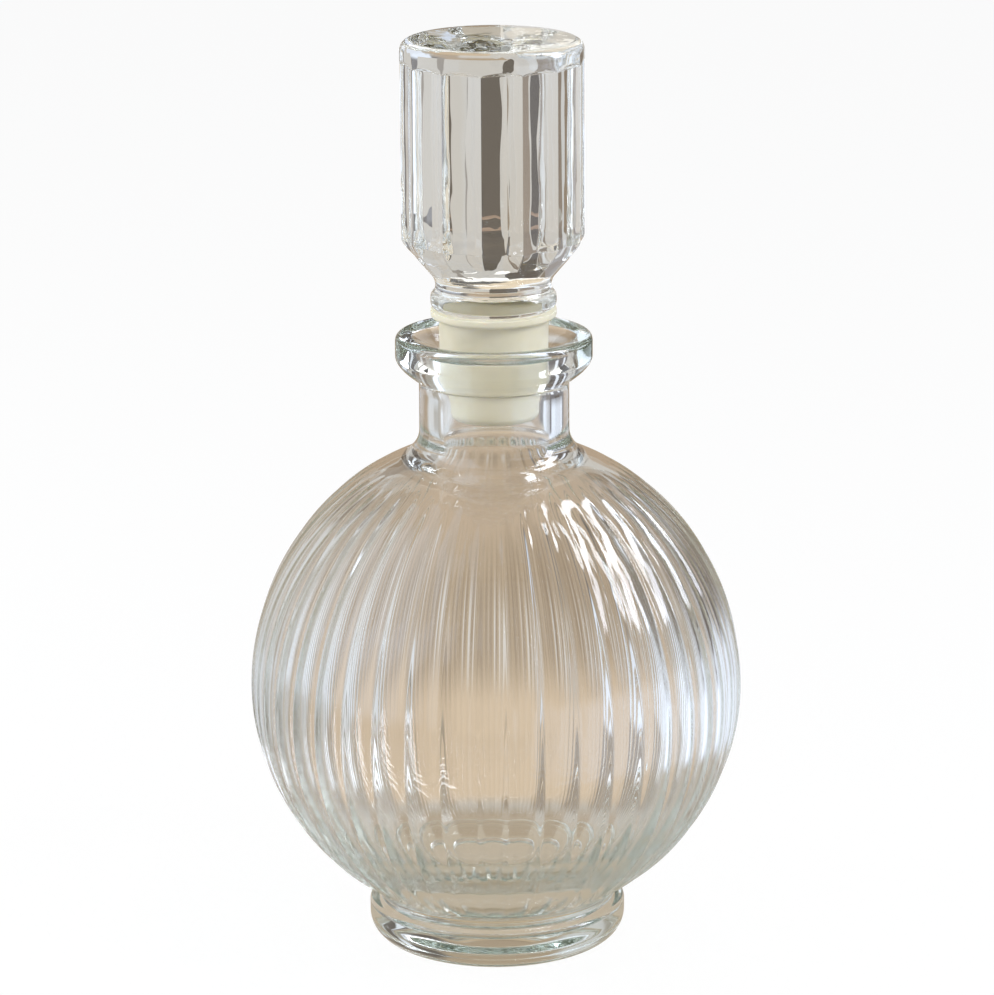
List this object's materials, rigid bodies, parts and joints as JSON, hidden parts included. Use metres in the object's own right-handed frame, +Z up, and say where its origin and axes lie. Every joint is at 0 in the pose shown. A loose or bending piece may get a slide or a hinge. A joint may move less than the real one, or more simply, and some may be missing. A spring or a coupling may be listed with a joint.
{
  "type": "liqueur carafe",
  "caption": "Fluted glass globe carafe on a round foot, with a flared mouth and a lift-out fluted glass stopper in a plastic sleeve.",
  "frame": {"origin": "middle of the foot's underside, in the plane that the carafe stands on", "axes": "+Z up along the carafe's axis"},
  "size_m": [0.1124, 0.1124, 0.21],
  "materials": {
    "clear_glass": "clear pressed glass with a faint green-grey tint",
    "stopper_glass": "clear solid pressed glass",
    "milky_plastic": "translucent cream polyethylene, satin"
  },
  "bodies": {
    "carafe": {"carafe_body": "clear_glass"},
    "stopper": {"stopper": "stopper_glass", "stopper_sleeve": "milky_plastic"}
  },
  "joints": [
    {"name": "stopper_lift", "type": "slide", "parent": "carafe", "child": "stopper", "axis": [0, 0, 1], "range_m": [0, 0.04]}
  ]
}
